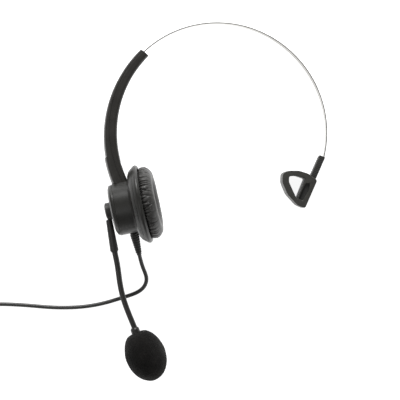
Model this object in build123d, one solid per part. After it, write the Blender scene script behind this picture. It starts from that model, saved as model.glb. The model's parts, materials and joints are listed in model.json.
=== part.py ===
from build123d import *
import math
import os

# Monaural call-centre headset, lying on a table.  Millimetres.
# X runs from the ear cup to the temple pad, Y from the microphone to the crown, Z up from the table.
# The origin is on the table, under the middle of the headset without its cord.

# ---------------------------------------------------------------- driving sizes
CUP_CENTRE = Vector(-51.0, -2.2, 27.47)  # middle of the ear cup's rim
CUP_TURN = 12.0                         # degrees, the cup's axis away from +X, seen in plan
CUP_YAW = -3.0                          # degrees, the cup's outer face dips toward the table
RIM_R = 27.5                            # rim of the speaker plate
RIM_HALF = 2.2
HUB_R = 18.3                            # round housing behind the rim
HUB_BACK = -17.5                        # where the outer cap starts, along the cup's axis
CAP_FACE = -21.0
CUSHION_R = 25.0
CUSHION_HOLE_R = 11.5
CUSHION_FRONT = 10.8
SWIVEL_DEPTH = -13.0                    # where the swivel axis crosses the cup's axis

BAND_CENTRE_X = 2.5                     # centre of the headband's circle, in plan
BAND_CENTRE_Y = 49.0
BAND_FALL_X = 0.1103                    # how far the band's plane falls for each millimetre of X
BAND_FALL_Y = 0.0960                    # and of Y
BAND_R = 76.1                           # middle of the strip's thickness
STRIP_THICK = 0.7
STRIP_HALF_WIDTH = 3.25
STRIP_START = -14.4                     # degrees on the band's circle, where its tab bends into the stem
STRIP_END = 172.0                       # inside the arm
TAB_LENGTH = 9.0                        # straight end of the strip, inside the stem
STEM_TOP = (74.9, 31.0)                 # middle of the stem's upper end, in plan
STEM_FOOT = (68.3, 16.2)

ARM_HALF_DEPTH = 6.0
ARM_OUTER_CENTRE = (4.6, -4.35)         # from the band's centre
ARM_OUTER_R = 85.1
ARM_INNER_CENTRE = (6.9, -2.6)
ARM_INNER_R = 78.5
ARM_EDGE_R = 2.6
PARTING_R = 77.2                        # where the arm's two shells meet
COVER_START = 193.5                     # degrees, where the arm's lower cover starts
COVER_PROUD = 0.7
SWIVEL_LEAN = 11.7                      # degrees, the swivel stud away from the band's own Y
SWIVEL_REACH = 17.3                     # from the cup's axis to the arm's end face
STUD_R = 2.5
BUSH_R = 3.9
RUNNING_GAP = 0.05

PAD_HALF_WIDTH = 11.5
PAD_LEAN = 0.05                         # how far the pad leans for each millimetre of its width
PAD_MIDDLE = (58.0, 8.0)

BOOM_DROP = 6.68                        # degrees, the boom dips from the plan view's level
BOOM_LEAN = -2.7                        # degrees, the boom's sleeve leans away from the head
BOOM_DEPTH = -24.4                      # boom's plane along the cup's axis
PIVOT_R = 6.0
NECK_R = 2.0
NECK_BEND_START = 46.0                  # straight up to here, measured from the pivot
NECK_BEND_R = 168.0
NECK_BEND = 13.0                        # degrees, bent toward the mouth
NECK_SPLIT = 4.2                        # degrees of that bend before the middle hinge
FOAM_LENGTH = 37.4
FOAM_R = 14.2

CORD_R = 1.4
COIL_CENTRE = (-181.0, -53.5)
COIL_R = 15.5
COIL_HALF_WIDTH = 5.6
COIL_BASE = 0.5
COIL_TOP = 11.3
TIE_THICK = 0.5
JACK_R = 1.75
PLUG_R = 3.8


def unit(angle):
    """Plane direction at an angle in degrees, as a pair."""
    return (math.cos(math.radians(angle)), math.sin(math.radians(angle)))


# ---------------------------------------------------------------- frames
# Ear cup: local X toward the mouth, local Z toward the head.
turn = math.radians(CUP_TURN)
yaw = math.radians(CUP_YAW)
HEAD_WAY = Vector(math.cos(yaw) * math.cos(turn), math.cos(yaw) * math.sin(turn), -math.sin(yaw))
MOUTH_WAY = Vector(math.sin(turn), -math.cos(turn), 0)
CUP = Plane(origin=CUP_CENTRE, x_dir=MOUTH_WAY, z_dir=HEAD_WAY)

# Headband: local X and Y in the band's plane, origin at the centre of its circle.
SWIVEL_POINT = CUP_CENTRE + HEAD_WAY * SWIVEL_DEPTH


def band_height(x, y):
    """Height of the band's middle plane over a plan point."""
    fall = BAND_FALL_X * (x - SWIVEL_POINT.X) + BAND_FALL_Y * (y - SWIVEL_POINT.Y)
    return SWIVEL_POINT.Z - fall


BAND = Plane(
    origin=(BAND_CENTRE_X, BAND_CENTRE_Y, band_height(BAND_CENTRE_X, BAND_CENTRE_Y)),
    x_dir=(1, 0, -BAND_FALL_X),
    z_dir=(BAND_FALL_X, BAND_FALL_Y, 1),
)


def on_band(x, y):
    """A plan point, laid on the band's plane, in the band's own coordinates."""
    local = BAND.to_local_coords(Vector(x, y, band_height(x, y)))
    return (local.X, local.Y)


SWIVEL_LOCAL = on_band(SWIVEL_POINT.X, SWIVEL_POINT.Y)
STUD_WAY = unit(SWIVEL_LEAN - 90)

# Boom: local X along the sleeve, local Y toward the head, origin on the cup's axis.
DIP_WAY = CUP.x_dir * unit(BOOM_DROP)[0] + CUP.y_dir * unit(BOOM_DROP)[1]
BOOM = Plane(
    origin=CUP_CENTRE + HEAD_WAY * BOOM_DEPTH,
    x_dir=DIP_WAY * unit(BOOM_LEAN)[0] + HEAD_WAY * unit(BOOM_LEAN)[1],
    z_dir=DIP_WAY.cross(HEAD_WAY),
)

pieces = {}


# ---------------------------------------------------------------- helpers
def turned(*outline):
    """A closed outline of (radius, height) points, turned about local Z."""
    return revolve(Plane.XZ * make_face(Polyline(*outline, close=True)), Axis.Z)


def peg(radius, low, high):
    """A round bar along local Z."""
    return Pos(0, 0, (low + high) / 2) * Cylinder(radius, high - low)


def ring(outer, inner, low, high):
    """A plain ring along local Z."""
    return peg(outer, low, high) - peg(inner, low - 1, high + 1)


def around(solid, count, radius, start=0.0):
    """Copies of a solid, spaced evenly on a circle."""
    return [Rot(0, 0, start + 360 * i / count) * Pos(radius, 0, 0) * solid for i in range(count)]


def sector(start, end, reach=100.0):
    """A wedge of the band's plane between two angles."""
    middle = (start + end) / 2
    corners = [(0, 0)]
    for angle in (start, middle, end):
        corners.append((reach * unit(angle)[0], reach * unit(angle)[1]))
    return make_face(Polyline(*corners, close=True))


def strip_arc(radius_low, radius_high, start, end, half_width):
    """A curved bar on the band's circle."""
    area = (Circle(radius_high) - Circle(radius_low)) & sector(start, end)
    return extrude(area, half_width, both=True)


def put(frame, **named):
    """Places local solids in the shared frame and keeps them under their names."""
    for name, solid in named.items():
        pieces[name] = frame.location * solid


# ---------------------------------------------------------------- ear cup
def swivel_frame():
    """Frame on the swivel axis: local Z runs up the stud, from the cup into the arm."""
    up = (BAND.x_dir * STUD_WAY[0] + BAND.y_dir * STUD_WAY[1]) * -1
    return Plane(origin=SWIVEL_POINT, x_dir=BAND.z_dir, z_dir=up)


SWIVEL = swivel_frame()
EXIT_DEPTH = -10.0
EXIT_TURN = 25.0
EXIT_R = 20.5
RELIEF_LENGTH = 17.6


def relief_frame():
    """Frame on the strain relief: local Z runs out along the cord."""
    out = Vector(3.5, -15.6, -7.4)
    radial = CUP.x_dir * unit(EXIT_TURN)[0] + CUP.y_dir * unit(EXIT_TURN)[1]
    start = CUP_CENTRE + HEAD_WAY * EXIT_DEPTH + radial * EXIT_R
    return Plane(origin=start, z_dir=out)


RELIEF = relief_frame()
in_cup = CUP.location.inverse()

SCREW_HOLES = around(peg(1.0, -4.1, 6) + peg(1.85, -1.3, 6), 3, 21.5, 60)


def make_housing():
    """Rear housing with the hub, the domed back and the bosses, and the cap that closes it."""
    outline = (
        (HUB_R, HUB_BACK), (HUB_R, -6.1), (20.6, -5.7), (22.8, -4.9), (24.6, -3.7), (25.8, -RIM_HALF),
        (23.9, -RIM_HALF), (22.6, -3.3), (19.6, -4.2), (16.7, -4.7), (16.7, HUB_BACK),
    )
    housing = turned(*outline)
    bush_boss = SWIVEL.location * peg(5.6, 13.2, SWIVEL_REACH - 0.3)
    exit_boss = RELIEF.location * peg(4.0, -4.5, 0)
    hollow = peg(16.6, HUB_BACK, -4.6)
    housing += (in_cup * bush_boss) & peg(HUB_R, HUB_BACK, -6.1)
    housing += (in_cup * exit_boss) - hollow
    seat = SWIVEL.location * (Pos(0, 0, SWIVEL_REACH - 0.3 + 5) * Box(40, 22, 10))
    housing -= in_cup * seat
    housing -= in_cup * (SWIVEL.location * peg(BUSH_R, 5, 30))
    housing -= in_cup * (RELIEF.location * peg(2.0, -12, 4))
    for hole in SCREW_HOLES:
        housing -= hole
    spigot = ring(16.6, 15.2, HUB_BACK, HUB_BACK + 2)
    notch = in_cup * (SWIVEL.location * peg(6.2, 5, 30))
    cap = turned(
        (1.5, CAP_FACE), (15.4, CAP_FACE), (17.6, -19.9), (HUB_R, -18.4), (HUB_R, HUB_BACK),
        (15.2, HUB_BACK), (15.2, -19.0), (4.0, -19.0), (4.0, -15.6), (1.5, -15.6),
    )
    cap = cap + (spigot - notch) - ring(5.2, 2.0, CAP_FACE - 1, CAP_FACE + 0.5) - in_cup * seat
    put(CUP, rear_housing=housing, outer_cap=cap)


def make_speaker():
    """Speaker plate, grille, cloth and the small loudspeaker behind them."""
    plate = turned(
        (14.2, -RIM_HALF), (25.9, -RIM_HALF), (26.8, -1.1), (RIM_R, 0.2), (RIM_R, 1.3),
        (26.7, RIM_HALF), (24.8, RIM_HALF), (24.8, -0.2), (14.2, -0.2),
    )
    for hole in SCREW_HOLES:
        plate -= hole
    grille = peg(14.1, -1.7, -0.5)
    for count, radius in ((1, 0), (6, 3.2), (12, 6.4), (18, 9.6)):
        for hole in around(peg(0.75, -3, 1), count, radius):
            grille -= hole
    heads = around(peg(1.0, -4.0, -1.3) + peg(1.8, -1.3, -0.2), 3, 21.5, 60)
    basket = ring(15.5, 14.3, -5.0, -2.3) + ring(15.5, 8.6, -6.0, -5.0)
    for slot in around(Box(3.6, 5.0, 3), 4, 12.0, 45):
        basket -= Pos(0, 0, -5.5) * slot
    put(
        CUP,
        speaker_plate=plate,
        speaker_grille=grille,
        grille_cloth=peg(13.6, -2.1, -1.75),
        housing_screws=Compound(children=heads),
        speaker_basket=basket,
        speaker_magnet=ring(9.0, 2.0, -11.8, -6.05),
        speaker_pole=peg(1.9, -11.8, -4.0),
        speaker_diaphragm=turned((0, -3.6), (4.6, -3.1), (9.2, -3.9), (14.1, -2.6), (14.1, -2.4),
                                 (9.2, -3.7), (4.6, -2.9), (0, -3.4)),
        voice_coil=ring(4.4, 3.9, -5.9, -3.65),
    )


def make_cushion():
    """Ear cushion: a leatherette ring over foam, on a thin backing ring."""
    foam_r = CUSHION_R - 0.9
    hole_r = CUSHION_HOLE_R + 0.9

    def body(outer, inner, back, front, edge):
        solid = ring(outer, inner, back, front)
        rims = solid.edges().filter_by(GeomType.CIRCLE).group_by(Axis.Z)[-1]
        return fillet(rims, edge)

    skin = body(CUSHION_R, CUSHION_HOLE_R, 2.4, CUSHION_FRONT, 5.0)
    skin += ring(24.5, CUSHION_HOLE_R, 0.0, 2.4)
    filling = body(foam_r, hole_r, 0.8, CUSHION_FRONT - 0.9, 4.2)
    filling &= ring(foam_r, hole_r, 2.6, CUSHION_FRONT) + ring(23.6, hole_r, 0.8, 2.6)
    put(
        CUP,
        cushion_cover=skin - filling - ring(23.6, hole_r, -1, 0.8),
        cushion_foam=filling,
        cushion_ring=ring(23.5, hole_r + 0.1, 0.0, 0.75),
    )


def make_cup_fittings():
    """Swivel bush, wiring board, cord clamp and strain relief."""
    bush = peg(BUSH_R, 13.4, SWIVEL_REACH - 0.3) - peg(STUD_R + RUNNING_GAP, 10, 20)
    board = Pos(9.4, 0, -13.6) * Box(7.5, 15, 1.2)
    clamp = Pos(10.9, 4.8, -8.9) * (Box(3, 5.4, 3.2) - Pos(0, 0, -1.2) * Box(5, 2.8, 2.4))
    relief = turned(
        (0, -4.9), (2.4, -4.9), (2.4, -4.25), (1.95, -4.25), (1.95, 0.05), (3.0, 0.05), (2.9, 2.0),
        (1.8, RELIEF_LENGTH), (0, RELIEF_LENGTH),
    )
    for i in range(6):
        rib = 3.0 - 0.17 * i
        low = 2.6 + 2.3 * i
        relief += turned((0, low), (rib, low), (rib + 0.15, low + 0.5), (rib, low + 1.2), (0, low + 1.2))
    put(SWIVEL, swivel_bush=bush)
    put(CUP, terminal_board=board, cable_clamp=clamp)
    put(RELIEF, cable_strain_relief=relief)


# ---------------------------------------------------------------- arm
ARM_END = (
    SWIVEL_LOCAL[0] - SWIVEL_REACH * STUD_WAY[0],
    SWIVEL_LOCAL[1] - SWIVEL_REACH * STUD_WAY[1],
)
ARM_MOUTH = [on_band(-51.8, 105.0), on_band(-46.2, 100.5)]


def arm_block(proud):
    """The whole arm as one block with rounded long edges."""
    across = (-STUD_WAY[1], STUD_WAY[0])
    foot = [(ARM_END[0] + across[0] * k, ARM_END[1] + across[1] * k) for k in (12, -16)]
    lip_x = ARM_MOUTH[0][0] - ARM_MOUTH[1][0]
    lip_y = ARM_MOUTH[0][1] - ARM_MOUTH[1][1]
    lip_out = (ARM_MOUTH[0][0] + lip_x, ARM_MOUTH[0][1] + lip_y)
    lip_in = (ARM_MOUTH[1][0] - lip_x, ARM_MOUTH[1][1] - lip_y)
    limits = make_face(Polyline(lip_in, foot[0], foot[1], (-95, -40), (-95, 64), lip_out, close=True))
    outer = Pos(*ARM_OUTER_CENTRE) * Circle(ARM_OUTER_R + proud)
    inner = Pos(*ARM_INNER_CENTRE) * Circle(ARM_INNER_R)
    block = extrude((outer - inner) & limits, ARM_HALF_DEPTH, both=True)
    long_edges = block.edges().filter_by(GeomType.CIRCLE)
    return fillet(long_edges, ARM_EDGE_R)


def make_arm():
    """Arm: an outer shell, an inner shell with the strip's channel, and a lower cover."""
    core = Cylinder(PARTING_R, 40)
    block = arm_block(0)
    tall = 20.0
    upper = extrude(sector(120, COVER_START), tall, both=True)
    lower = extrude(sector(COVER_START, 225), tall, both=True)
    seam = Cylinder(PARTING_R + 0.3, 40) - Cylinder(PARTING_R - 0.3, 40)
    seam -= Box(400, 400, 2 * (ARM_HALF_DEPTH - 0.5))
    channel = strip_arc(BAND_R - 0.65, BAND_R + 0.75, 120, 150, STRIP_HALF_WIDTH + 0.25)
    chamber = strip_arc(BAND_R - 1.9, PARTING_R + 0.01, 139, 196, 4.6)
    to_band = BAND.location.inverse() * SWIVEL.location
    stud_bore = to_band * peg(STUD_R, 0, SWIVEL_REACH + 8)
    stud_room = to_band * peg(3.95, SWIVEL_REACH + 3, SWIVEL_REACH + 8)
    screw_way = Rot(0, 0, 198.7) * Rot(0, 90, 0)
    screw = peg(1.0, 74.6, 80.5) + peg(1.8, 73.4, 74.6)
    screws = [Pos(0, 0, side) * screw_way * screw for side in (-3.4, 3.4)]
    inner = (block & core) - seam - channel - chamber - stud_bore - stud_room
    outer = ((block - core) & upper) - seam
    cover = ((arm_block(COVER_PROUD) - core) & lower) - seam - stud_bore - stud_room
    for side in (-3.4, 3.4):
        inner -= Pos(0, 0, side) * screw_way * (peg(1.0, 60, 80.5) + peg(1.8, 60, 74.6))
        cover -= Pos(0, 0, side) * screw_way * peg(1.0, 60, 80.5)
    spring = strip_arc(BAND_R - 1.85, BAND_R - 1.45, 142, 151, 2.6)
    spring += strip_arc(BAND_R - 1.5, BAND_R - 0.5, 146, 147.2, 2.0)
    put(
        BAND,
        arm_inner_shell=inner,
        arm_outer_shell=outer,
        arm_lower_cover=cover,
        arm_screws=Compound(children=screws),
        detent_spring=spring,
    )


def make_swivel():
    """The stud that turns in the cup's bush, and the clip that keeps it there."""
    stud = peg(STUD_R, 10.2, SWIVEL_REACH + 3) + peg(3.7, SWIVEL_REACH + 3, SWIVEL_REACH + 5)
    stud -= ring(4, 1.9, 11.8, 12.6)
    clip = ring(4.2, 1.92, 11.85, 12.55) - Pos(5, 0, 12.2) * Box(10, 2.4, 4)
    put(SWIVEL, swivel_stud=stud, swivel_clip=clip)


# ---------------------------------------------------------------- headband and temple pad
POCKET = [(66.0, 12.2), (65.4, 7.5), (61.2, 0.4), (58.4, 1.8), (60.8, 7.4), (63.5, 12.2)]
POCKET_CORNERS = [0.5, 4.0, 0.8, 0.8, 4.0, 0.5]
PLATE_HALF_WIDTH = 9.8
PAD = Plane(
    origin=(*PAD_MIDDLE, band_height(*PAD_MIDDLE)),
    x_dir=(1, 0, -PAD_LEAN),
    z_dir=(PAD_LEAN, 0, 1),
)


def rounded(points, radii):
    """A flat face with rounded corners, from plan points of the pad's upper face."""
    rise = PAD_HALF_WIDTH * PAD_LEAN
    local = [(x - rise - PAD_MIDDLE[0], y - PAD_MIDDLE[1]) for x, y in points]
    return make_face(FilletPolyline(*local, radius=radii, close=True))


def make_band():
    """Spring steel strip, its stop, the stem that holds the pad, and two rivets."""
    half = STRIP_THICK / 2
    strip = strip_arc(BAND_R - half, BAND_R + half, STRIP_START, 80, STRIP_HALF_WIDTH)
    strip += strip_arc(BAND_R - half, BAND_R + half, 80, STRIP_END, STRIP_HALF_WIDTH)
    stop = strip_arc(BAND_R - 1.5, BAND_R + 0.7, STRIP_END - 2.4, STRIP_END, 4.2) - strip
    stem_top = Vector(*on_band(*STEM_TOP))
    stem_foot = Vector(*on_band(*STEM_FOOT))
    stem_way = (stem_foot - stem_top).normalized()
    reach = (stem_foot - stem_top).length + 6.0
    frame = Plane(origin=stem_top, x_dir=stem_way, z_dir=(0, 0, 1))
    stem = Pos(reach / 2, 0, 0) * Box(reach, 3.7, 9.0)
    for i in range(10):
        stem += Pos(0.5 + 1.5 * i, 0, 0) * Box(0.8, 4.4, 9.6)
    stem = frame.location * stem
    bend = Vector(*unit(STRIP_START)) * BAND_R
    tab_frame = Plane(origin=bend, x_dir=stem_way, z_dir=(0, 0, 1))
    tab = Pos(TAB_LENGTH / 2 - 0.05, 0, 0) * Box(TAB_LENGTH, STRIP_THICK, 2 * STRIP_HALF_WIDTH)
    strip += tab_frame.location * tab
    holes = []
    for along in (4.0, 6.8):
        holes.append(tab_frame.location * (Pos(along, 0, 0) * Rot(90, 0, 0) * Cylinder(0.9, 1.7)))
    rivets = Compound(children=holes)
    plate = extrude(rounded(POCKET, POCKET_CORNERS), PLATE_HALF_WIDTH, both=True)
    stem += BAND.location.inverse() * PAD.location * plate
    for hole in holes:
        stem -= hole
        strip -= hole
    put(
        BAND,
        headband_strip=strip,
        strip_stop=stop,
        pad_stem=stem - strip,
        stem_rivets=rivets,
    )


def make_pad():
    """Rubber temple pad: a rounded wedge with a finger hole and a pocket for the stem's plate."""
    outline = rounded(
        [(46.9, 13.0), (47.2, 19.6), (52.0, 21.2), (58.5, 21.2), (65.0, 19.2), (71.4, 14.4),
         (62.8, -5.2), (57.5, -3.0), (50.5, 4.6)],
        [6.0, 3.6, 7.0, 9.0, 10.0, 2.0, 1.8, 7.0, 10.0],
    )
    hole = rounded(
        [(51.6, 13.2), (51.6, 17.3), (57.0, 17.6), (63.2, 15.6), (57.2, 0.9)],
        [4.0, 1.8, 5.0, 1.2, 0.6],
    )
    block = extrude(outline - hole, PAD_HALF_WIDTH, both=True)
    rims = block.faces().filter_by(Axis.Z).edges()
    block = fillet(rims, 0.9)
    pocket = extrude(rounded(POCKET, POCKET_CORNERS), PAD_HALF_WIDTH + 1, both=True)
    put(PAD, temple_pad=block - pocket)
    pieces["temple_pad"] -= pieces["pad_stem"]


# ---------------------------------------------------------------- microphone boom
PIVOT = Plane(origin=CUP_CENTRE, x_dir=DIP_WAY, z_dir=HEAD_WAY)
SLEEVE_END = 28.0


def neck_arc(start, end):
    """A stretch of the gooseneck's bend, between two angles of the bend."""
    section = Pos(NECK_BEND_START, 0, 0) * (Plane.YZ * Circle(NECK_R))
    axis = Axis((NECK_BEND_START, NECK_BEND_R, 0), (0, 0, 1))
    return revolve(section, axis, end - start).rotate(axis, start)


def neck_point(angle):
    """A point on the gooseneck's bend."""
    swing = math.radians(angle)
    return (
        NECK_BEND_START + NECK_BEND_R * math.sin(swing),
        NECK_BEND_R * (1 - math.cos(swing)),
    )


def make_boom():
    """Pivot disc with its sleeve, screw, washer and cap, and the lower gooseneck."""
    disc = ring(PIVOT_R, 1.5 + RUNNING_GAP, -24.3, CAP_FACE - 0.2)
    disc -= peg(2.8, -26, -22.9)
    cap = turned((0, -25.9), (4.4, -25.9), (PIVOT_R, -25.2), (PIVOT_R, -24.35), (0, -24.35))
    screw = peg(1.5, -23.0, -15.6) + peg(2.6, -24.2, -23.0)
    put(PIVOT, boom_pivot_cap=cap, boom_pivot_screw=screw)
    put(PIVOT, boom_wave_washer=ring(4.8, 2.2, CAP_FACE + 0.02, CAP_FACE + 0.45))
    sleeve = Pos(4.6, 0, 0) * Rot(0, 90, 0) * Pos(0, 0, (SLEEVE_END - 4.6) / 2)
    sleeve = sleeve * Cone(2.2, 2.95, SLEEVE_END - 4.6)
    mouth = Pos(SLEEVE_END - 5, 0, 0) * Rot(0, 90, 0) * peg(2.45, 0, 8)
    cap_room = PIVOT.location * peg(PIVOT_R + 0.1, -30, -24.3)
    holder = (BOOM.location * (sleeve - mouth)) - cap_room + (PIVOT.location * disc)
    pieces["boom_holder"] = holder
    ferrule = Pos(SLEEVE_END - 5, 0, 0) * Rot(0, 90, 0) * ring(2.4, NECK_R + 0.02, 0.1, 5.8)
    straight = Pos(SLEEVE_END - 4.8, 0, 0) * Rot(0, 90, 0) * peg(NECK_R, 0, NECK_BEND_START - 23.2)
    gap = math.degrees(2.1 / NECK_BEND_R)
    lower = straight + neck_arc(0, NECK_SPLIT - gap)
    lower += Pos(*neck_point(NECK_SPLIT - gap), 0) * Sphere(NECK_R)
    put(BOOM, boom_ferrule=ferrule, gooseneck_lower=lower)


def make_microphone():
    """Upper gooseneck, microphone and its foam windscreen."""
    gap = math.degrees(2.1 / NECK_BEND_R)
    upper = neck_arc(NECK_SPLIT + gap, NECK_BEND)
    upper += Pos(*neck_point(NECK_SPLIT + gap), 0) * Sphere(NECK_R)
    put(BOOM, gooseneck_upper=upper)
    mic = BOOM.location * Pos(*neck_point(NECK_BEND), 0) * Rot(0, 0, NECK_BEND) * Rot(0, 90, 0)
    collar = turned((0, 0), (2.3, 0), (3.1, 1.0), (3.1, 5.6), (0, 5.6))
    shell = turned(
        (0, 5.6), (3.6, 5.6), (4.7, 7.6), (4.7, 20.0), (3.7, 20.0), (3.7, 12.0), (0, 12.0),
    )
    middle = 2.4 + FOAM_LENGTH / 2
    ball = Pos(0, 0, middle) * scale(Sphere(FOAM_R), (1, 1, FOAM_LENGTH / 2 / FOAM_R))
    socket = peg(4.75, -2, 21.2) + peg(3.2, -8, 0)
    foam = ball - socket - peg(4.75, -2, 8)
    grille = peg(3.6, 18.9, 19.9)
    for hole in around(peg(0.45, 15, 22), 6, 2.0) + [peg(0.45, 15, 22)]:
        grille -= hole
    for name, solid in (
        ("mic_collar", collar),
        ("mic_housing", shell),
        ("mic_grommet", ring(3.65, 3.05, 12.1, 18.8)),
        ("mic_capsule", peg(3.0, 14.2, 18.7)),
        ("mic_grille", grille),
        ("foam_windscreen", foam),
    ):
        pieces[name] = mic * solid


# ---------------------------------------------------------------- cord, coil and plug
CORD_START = RELIEF.origin + RELIEF.z_dir * RELIEF_LENGTH
CORD_STRAIGHT = 7.9
CORD_ROUTE = [
    (-48.9, -51.0, 5.1),
    (-48.0, -54.9, 3.5),
    (-48.9, -58.9, 2.3),
    (-51.4, -62.3, 1.6),
    (-56.1, -65.2, 1.45),
    (-66.6, -68.6, 1.45),
    (-80.0, -72.6, 1.45),
    (-95.5, -75.0, 1.45),
    (-114.0, -75.2, 1.45),
    (-133.0, -73.4, 1.45),
    (-151.0, -72.5, 2.0),
    (-168.0, -73.2, 2.9),
    (-181.0, -73.2, 3.4),
]
PLUG_START = (-200.9, -44.0, 3.9)


def make_cord():
    """Cord from the strain relief to the coil: straight runs joined by tangent arcs."""
    points = [CORD_START, CORD_START + RELIEF.z_dir * CORD_STRAIGHT]
    points += [Vector(*point) for point in CORD_ROUTE]
    runs = [b - a for a, b in zip(points, points[1:])]
    radii = []
    for first, second in zip(runs, runs[1:]):
        half_turn = math.radians(first.get_angle(second)) / 2
        radii.append(0.45 * min(first.length, second.length) / math.tan(half_turn))
    path = FilletPolyline(*points, radius=radii)
    section = Plane(origin=path @ 0, z_dir=path % 0) * Circle(CORD_R)
    tube = sweep(section, path)
    print("cord radii", [round(radius, 1) for radius in radii])
    print("cord runs", [round(run.length, 1) for run in runs])
    print("cord volume", round(tube.volume, 1), "against", round(math.pi * CORD_R**2 * path.length, 1))
    pieces["cord_lead"] = tube


def make_coil():
    """Put-away length as one wound ring, the tie round it, and the plug beside it."""
    height = COIL_TOP - COIL_BASE
    middle = (COIL_TOP + COIL_BASE) / 2
    place = Pos(COIL_CENTRE[0], COIL_CENTRE[1], 0)
    section = Pos(COIL_R, middle) * RectangleRounded(2 * COIL_HALF_WIDTH, height, 3.2)
    coil = revolve(Plane.XZ * section, Axis.Z)
    loop = RectangleRounded(2 * (COIL_HALF_WIDTH + TIE_THICK), height + 2 * TIE_THICK, 3.7)
    loop -= RectangleRounded(2 * COIL_HALF_WIDTH, height, 3.2)
    tie = extrude(Plane.XZ * (Pos(COIL_R, middle) * loop), 3.0, both=True)
    pieces["cord_coil"] = place * coil
    pieces["coil_tie"] = place * Rot(0, 0, 60) * (tie - coil)


def make_plug():
    """A 3.5 mm four-contact jack plug with its moulded body and strain relief."""
    frame = Plane(origin=PLUG_START, x_dir=(1, 0, 0), z_dir=(0, 1, 0))
    relief = turned((0, 0), (1.9, 0), (2.9, 12), (0, 12))
    for i in range(4):
        rib = 2.1 + 0.2 * i
        low = 2.0 + 2.4 * i
        relief += turned((0, low), (rib + 0.3, low), (rib + 0.3, low + 1.2), (0, low + 1.2))
    body = turned((0, 12), (3.4, 12), (PLUG_R, 13), (PLUG_R, 29), (3.3, 31.5), (2.6, 31.5), (0, 31.5))
    jack = turned(
        (0, 31.5), (2.6, 31.5), (2.6, 32.3), (JACK_R, 32.3), (JACK_R, 42.8), (1.25, 43.5),
        (1.5, 44.2), (0.5, 45.9), (0, 45.9),
    )
    bands = [ring(JACK_R, 1.2, low, low + 0.6) for low in (35.2, 38.0, 40.8)]
    for band in bands:
        jack -= band
    put(
        frame,
        plug_strain_relief=relief,
        plug_body=body,
        plug_jack=jack,
        plug_insulators=Compound(children=bands),
    )


for make in (make_housing, make_speaker, make_cushion, make_cup_fittings, make_arm, make_swivel,
             make_band, make_pad, make_boom, make_microphone, make_cord, make_coil, make_plug):
    make()

os.makedirs("parts", exist_ok=True)
for name, solid in pieces.items():
    export_step(solid, f"parts/{name}.step")
print(len(pieces), "nodes")
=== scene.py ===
"""Looks of a single-ear office headset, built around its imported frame.

Sizes inside the classes are in millimetres, in each sub-assembly's own frame.  They turn into the
shared frame's metres when a mesh is made.
"""
from __future__ import annotations

import json
import logging
import math
import random
from dataclasses import dataclass
from enum import Enum
from typing import ClassVar

import bmesh
import bpy
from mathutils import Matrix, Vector, noise


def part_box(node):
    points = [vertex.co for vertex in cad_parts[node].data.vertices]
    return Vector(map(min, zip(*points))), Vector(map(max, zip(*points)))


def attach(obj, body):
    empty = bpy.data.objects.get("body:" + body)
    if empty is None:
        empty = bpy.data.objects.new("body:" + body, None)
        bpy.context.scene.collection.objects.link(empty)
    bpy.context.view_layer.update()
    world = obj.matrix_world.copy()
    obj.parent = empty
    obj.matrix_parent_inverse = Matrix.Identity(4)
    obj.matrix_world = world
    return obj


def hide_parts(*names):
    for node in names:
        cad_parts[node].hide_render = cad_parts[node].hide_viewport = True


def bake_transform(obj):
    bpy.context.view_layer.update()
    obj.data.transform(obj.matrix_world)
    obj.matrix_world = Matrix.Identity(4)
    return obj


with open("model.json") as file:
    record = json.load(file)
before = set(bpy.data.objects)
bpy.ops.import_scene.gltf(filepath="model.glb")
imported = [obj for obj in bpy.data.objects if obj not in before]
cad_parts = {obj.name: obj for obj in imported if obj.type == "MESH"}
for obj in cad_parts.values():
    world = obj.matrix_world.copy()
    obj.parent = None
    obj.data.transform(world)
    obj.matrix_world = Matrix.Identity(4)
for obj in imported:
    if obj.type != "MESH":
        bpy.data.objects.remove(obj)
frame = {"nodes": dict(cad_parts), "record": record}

MM = 0.001
LOG = logging.getLogger("headset")
Profile = list[tuple[float, float]]
Spot = tuple[float, float, float]
Gather = tuple[float, float, float, float, float]
Face = tuple[int, ...]

BOOM_TO_RIM = 24.4              # from the boom's pivot to the rim, along the cup's axis
BOOM_LEAN = -2.7                # degrees, the sleeve leans away from the cup
RELIEF_LENGTH = 17.6
PAD_MIDDLE = (58.0, 8.0)        # middle of the temple pad, seen from above
PAD_LEAN = 0.05                 # sideways lean of the pad's width, for each millimetre up
PATCH_SIZE = 9.0                # width of the slow colour patches in every finish
ROUGHNESS_SPREAD = 0.07
NOISE_LOW, NOISE_HIGH = 0.3, 0.7


# ------------------------------------------------------------------ frames
@dataclass(frozen=True)
class LocalFrame:
    """A place and three directions in the shared frame.

    Args:
        origin: where the local zero stands, in metres.
        x_way: local X.
        z_way: local Z.
    """

    origin: Vector
    x_way: Vector
    z_way: Vector

    @property
    def y_way(self) -> Vector:
        """Local Y."""
        return self.z_way.cross(self.x_way)

    def point(self, x: float, y: float, z: float) -> Vector:
        """A local point in millimetres, as a shared point in metres."""
        return self.origin + (self.x_way * x + self.y_way * y + self.z_way * z) * MM


def joint(name: str) -> tuple[Vector, Vector]:
    """The place and axis of a joint in the frame.

    Args:
        name: the joint's name.

    Returns:
        Its position in metres and its unit axis.
    """
    for entry in frame["record"]["behaviour"]["joints"]:
        if entry["name"] == name:
            return Vector(entry["pos_m"]), Vector(entry["axis"]).normalized()
    raise KeyError(name)


def cup_frame() -> LocalFrame:
    """Ear cup's frame, with its origin in the middle of the rim.

    Returns:
        Z toward the head and X toward the microphone.
    """
    place, outward = joint("boom_rotation")
    head_way = -outward
    mouth_way = Vector((head_way.y, -head_way.x, 0.0)).normalized()
    return LocalFrame(place + head_way * BOOM_TO_RIM * MM, mouth_way, head_way)


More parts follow.
